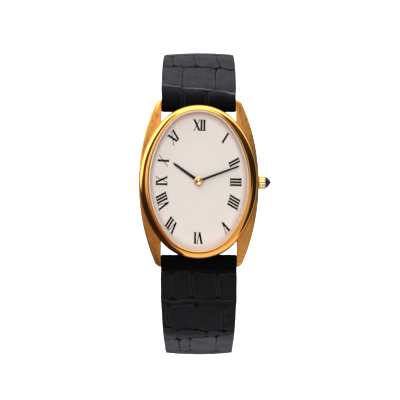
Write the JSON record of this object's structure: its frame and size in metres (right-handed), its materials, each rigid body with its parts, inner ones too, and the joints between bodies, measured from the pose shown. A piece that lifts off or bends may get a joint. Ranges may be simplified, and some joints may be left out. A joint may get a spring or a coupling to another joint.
{
  "type": "oval wristwatch",
  "caption": "Oval dress wristwatch: domed bezel, Roman dial, two hands, jewelled crown, hand-wound movement, scaled leather strap with pin buckle, unbuckled.",
  "frame": {"origin": "centre of the case back's outer face, on the hands' axis", "axes": "+Z out of the dial, +Y towards 12 o'clock, +X towards the crown"},
  "size_m": [0.0315, 0.0816, 0.1081],
  "materials": {
    "polished_gold": "polished yellow gold",
    "brushed_gold": "brushed yellow gold",
    "crystal": "polished",
    "dial_silver": "satin silvered",
    "hand_black": "gloss black",
    "blue_stone": "polished cabochon",
    "ruby": "polished",
    "strap_leather": "large square scale grain",
    "lining_leather": "smooth",
    "blued_steel": "heat blued",
    "steel": "fine ground",
    "plate_nickel": "nickel plated, striped",
    "wheel_brass": "circular grained"
  },
  "bodies": {
    "case": {"case_middle": "brushed_gold", "bezel": "polished_gold", "crystal": "crystal", "case_back": "brushed_gold", "movement_ring": "plate_nickel", "dial": "dial_silver", "main_plate": "plate_nickel", "barrel_bridge": "plate_nickel", "train_bridge": "plate_nickel", "balance_cock": "plate_nickel", "pallet_bridge": "plate_nickel", "jewels": "ruby", "bridge_screws": "blued_steel", "crown_tube": "steel", "spring_bar_12": "steel", "spring_bar_6": "steel", "hairspring": "blued_steel"},
    "winding_pinion": {"winding_pinion": "steel"},
    "crown": {"crown": "polished_gold", "crown_cabochon": "blue_stone", "winding_stem": "steel"},
    "clutch": {"sliding_pinion": "steel"},
    "setting_lever": {"setting_lever": "steel"},
    "yoke": {"yoke": "steel"},
    "crown_wheel": {"crown_wheel": "steel"},
    "ratchet": {"ratchet_wheel": "steel", "barrel_arbor": "steel"},
    "click": {"click": "steel"},
    "barrel": {"barrel": "wheel_brass", "barrel_cover": "plate_nickel", "mainspring": "steel"},
    "centre_wheel": {"centre_wheel": "wheel_brass"},
    "third_wheel": {"third_wheel": "wheel_brass"},
    "fourth_wheel": {"fourth_wheel": "wheel_brass"},
    "escape_wheel": {"escape_wheel": "steel"},
    "pallet_fork": {"pallet_fork": "steel"},
    "balance": {"balance_wheel": "wheel_brass"},
    "minute_hand": {"cannon_pinion": "steel", "minute_hand": "hand_black", "hub_cap": "polished_gold"},
    "minute_wheel": {"minute_wheel": "wheel_brass"},
    "hour_hand": {"hour_wheel": "wheel_brass", "hour_hand": "hand_black"},
    "setting_wheel": {"setting_wheel": "wheel_brass"},
    "strap_short": {"strap_short_outer": "strap_leather", "strap_short_lining": "lining_leather", "keeper_fixed": "strap_leather"},
    "strap_long": {"strap_long_outer": "strap_leather", "strap_long_lining": "lining_leather"},
    "keeper_free": {"keeper_free": "strap_leather"},
    "buckle": {"buckle_frame": "polished_gold", "buckle_bar": "polished_gold"},
    "tongue": {"buckle_tongue": "polished_gold"}
  },
  "joints": [
    {"name": "crown_turn", "type": "hinge", "parent": "case", "child": "winding_pinion", "pos_m": [0.0082, 0, 0.0022], "axis": [1, 0, 0], "continuous": true},
    {"name": "crown_pull", "type": "slide", "parent": "winding_pinion", "child": "crown", "axis": [1, 0, 0], "range_m": [0, 0.0008]},
    {"name": "clutch_slide", "type": "slide", "parent": "winding_pinion", "child": "clutch", "axis": [-1, 0, 0], "range_m": [0, 0.0004]},
    {"name": "setting_lever_swing", "type": "hinge", "parent": "case", "child": "setting_lever", "pos_m": [0.00965, 0.0013, 0.0029], "axis": [0, 0, 1], "range_deg": [0, 34.3]},
    {"name": "yoke_swing", "type": "hinge", "parent": "case", "child": "yoke", "pos_m": [0.0054, 0.0023, 0.0029], "axis": [0, 0, 1], "range_deg": [-12.3, 0]},
    {"name": "crown_wheel_turn", "type": "hinge", "parent": "case", "child": "crown_wheel", "pos_m": [0.00605, 0, 0.0009], "axis": [0, 0, 1], "continuous": true},
    {"name": "ratchet_turn", "type": "hinge", "parent": "case", "child": "ratchet", "pos_m": [0.00239, 0.0045, 0.0009], "axis": [0, 0, 1], "continuous": true},
    {"name": "click_swing", "type": "hinge", "parent": "case", "child": "click", "pos_m": [-0.00008, 0.00879, 0.0008], "axis": [0, 0, 1], "range_deg": [0, 8]},
    {"name": "barrel_turn", "type": "hinge", "parent": "case", "child": "barrel", "pos_m": [0.00239, 0.0045, 0.002], "axis": [0, 0, 1], "continuous": true},
    {"name": "centre_wheel_turn", "type": "hinge", "parent": "case", "child": "centre_wheel", "pos_m": [0, 0, 0.0016], "axis": [0, 0, 1], "continuous": true},
    {"name": "third_wheel_turn", "type": "hinge", "parent": "case", "child": "third_wheel", "pos_m": [-0.00319, -0.00056, 0.0018], "axis": [0, 0, 1], "continuous": true},
    {"name": "fourth_wheel_turn", "type": "hinge", "parent": "case", "child": "fourth_wheel", "pos_m": [-0.00615, 0.00023, 0.00198], "axis": [0, 0, 1], "continuous": true},
    {"name": "escape_wheel_turn", "type": "hinge", "parent": "case", "child": "escape_wheel", "pos_m": [-0.00561, -0.0028, 0.00216], "axis": [0, 0, 1], "continuous": true},
    {"name": "pallet_fork_swing", "type": "hinge", "parent": "case", "child": "pallet_fork", "pos_m": [-0.00375, -0.00417, 0.00216], "axis": [0, 0, 1], "range_deg": [-6, 6]},
    {"name": "balance_swing", "type": "hinge", "parent": "case", "child": "balance", "pos_m": [-0.00078, -0.00635, 0.0019], "axis": [0, 0, 1], "range_deg": [-270, 270]},
    {"name": "minute_hand_turn", "type": "hinge", "parent": "case", "child": "minute_hand", "pos_m": [0, 0, 0.0042], "axis": [0, 0, 1], "continuous": true},
    {"name": "minute_wheel_turn", "type": "hinge", "parent": "case", "child": "minute_wheel", "pos_m": [0.00218, -0.00101, 0.0029], "axis": [0, 0, 1], "continuous": true},
    {"name": "hour_hand_turn", "type": "hinge", "parent": "case", "child": "hour_hand", "pos_m": [0, 0, 0.0039], "axis": [0, 0, 1], "continuous": true},
    {"name": "setting_wheel_turn", "type": "hinge", "parent": "case", "child": "setting_wheel", "pos_m": [0.00501, -0.00051, 0.0029], "axis": [0, 0, 1], "continuous": true},
    {"name": "strap_short_swing", "type": "hinge", "parent": "case", "child": "strap_short", "pos_m": [0, 0.0184, 0.0016], "axis": [1, 0, 0], "range_deg": [-3, 60]},
    {"name": "strap_long_swing", "type": "hinge", "parent": "case", "child": "strap_long", "pos_m": [0, -0.0184, 0.0016], "axis": [-1, 0, 0], "range_deg": [-3, 60]},
    {"name": "keeper_slide", "type": "slide", "parent": "strap_short", "child": "keeper_free", "axis": [0, 0.0175, -0.9998], "range_m": [-0.0009, 0.0014]},
    {"name": "buckle_swing", "type": "hinge", "parent": "strap_short", "child": "buckle", "pos_m": [0, 0.03719, -0.06162], "axis": [-1, 0, 0], "range_deg": [-15, 45]},
    {"name": "tongue_swing", "type": "hinge", "parent": "buckle", "child": "tongue", "pos_m": [0, 0.03719, -0.06162], "axis": [1, 0, 0], "range_deg": [0, 25]}
  ],
  "couplings": [
    {"joint": "clutch_slide", "follows": "crown_pull", "ratio": 0.5},
    {"joint": "setting_lever_swing", "follows": "crown_pull", "rad_per_m": 746.19},
    {"joint": "yoke_swing", "follows": "crown_pull", "rad_per_m": -266.75},
    {"joint": "crown_wheel_turn", "follows": "crown_turn", "ratio": 0.5},
    {"joint": "ratchet_turn", "follows": "crown_turn", "ratio": -0.3},
    {"joint": "third_wheel_turn", "follows": "fourth_wheel_turn", "ratio": -0.13333},
    {"joint": "centre_wheel_turn", "follows": "fourth_wheel_turn", "ratio": 0.016667},
    {"joint": "barrel_turn", "follows": "fourth_wheel_turn", "ratio": -0.0022222},
    {"joint": "escape_wheel_turn", "follows": "fourth_wheel_turn", "ratio": -10},
    {"joint": "minute_wheel_turn", "follows": "minute_hand_turn", "ratio": -0.33333},
    {"joint": "hour_hand_turn", "follows": "minute_hand_turn", "ratio": 0.083333},
    {"joint": "setting_wheel_turn", "follows": "minute_hand_turn", "ratio": 0.55556}
  ]
}
